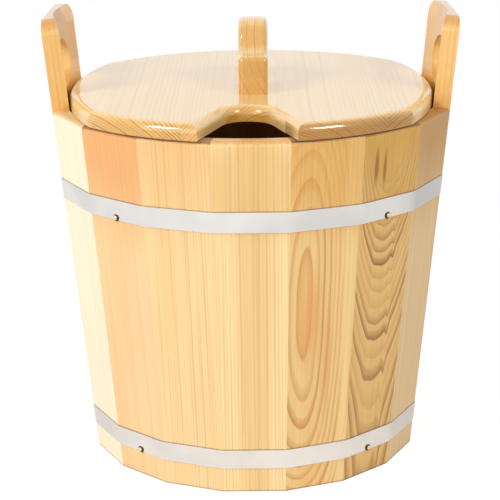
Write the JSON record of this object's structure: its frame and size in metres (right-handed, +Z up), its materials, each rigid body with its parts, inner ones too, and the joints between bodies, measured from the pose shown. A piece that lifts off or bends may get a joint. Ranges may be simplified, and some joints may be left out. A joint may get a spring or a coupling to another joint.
{
  "type": "lidded wooden tub",
  "caption": "Coopered wooden tub of varnished staves with steel bands, raised side ears with hand holes, and a lift-off lid with a bar handle and a spoon notch.",
  "frame": {"origin": "centre of the ring on which the staves stand, at ground level", "axes": "+Z up along the tub's axis; the notched front of the lid faces -Y; the ears stand at -X and +X"},
  "size_m": [0.3648, 0.3634, 0.4046],
  "materials": {
    "stave_wood": "gloss varnish",
    "ear_wood": "gloss varnish",
    "lid_wood": "gloss varnish",
    "handle_wood": "gloss varnish",
    "inner_wood": "planed",
    "dowel_wood": "turned",
    "band_steel": "polished",
    "screw_steel": "zinc plated",
    "nail_brass": "domed, aged"
  },
  "bodies": {
    "tub": {"stave_front_1": "stave_wood", "stave_front_2": "stave_wood", "stave_front_3": "stave_wood", "stave_front_4": "stave_wood", "stave_front_5": "stave_wood", "stave_front_6": "stave_wood", "stave_front_7": "stave_wood", "stave_back_1": "stave_wood", "stave_back_2": "stave_wood", "stave_back_3": "stave_wood", "stave_back_4": "stave_wood", "stave_back_5": "stave_wood", "stave_back_6": "stave_wood", "stave_back_7": "stave_wood", "ear_stave_left": "ear_wood", "ear_stave_right": "ear_wood", "floor_board_1": "inner_wood", "floor_board_2": "inner_wood", "floor_board_3": "inner_wood", "floor_board_4": "inner_wood", "floor_dowels": "dowel_wood", "lower_hoop": "band_steel", "upper_hoop": "band_steel", "hoop_rivets": "band_steel", "lower_hoop_nails": "nail_brass", "upper_hoop_nails": "nail_brass"},
    "lid": {"lid_board_1": "lid_wood", "lid_board_2": "lid_wood", "lid_board_3": "lid_wood", "lid_board_4": "lid_wood", "lid_dowels": "dowel_wood", "lid_front_batten": "inner_wood", "lid_back_batten": "inner_wood", "lid_batten_screws": "screw_steel", "lid_handle": "handle_wood", "lid_handle_screws": "screw_steel"}
  },
  "joints": [
    {"name": "lid_lift", "type": "slide", "parent": "tub", "child": "lid", "axis": [0, 0, 1], "range_m": [0, 0.16]}
  ]
}
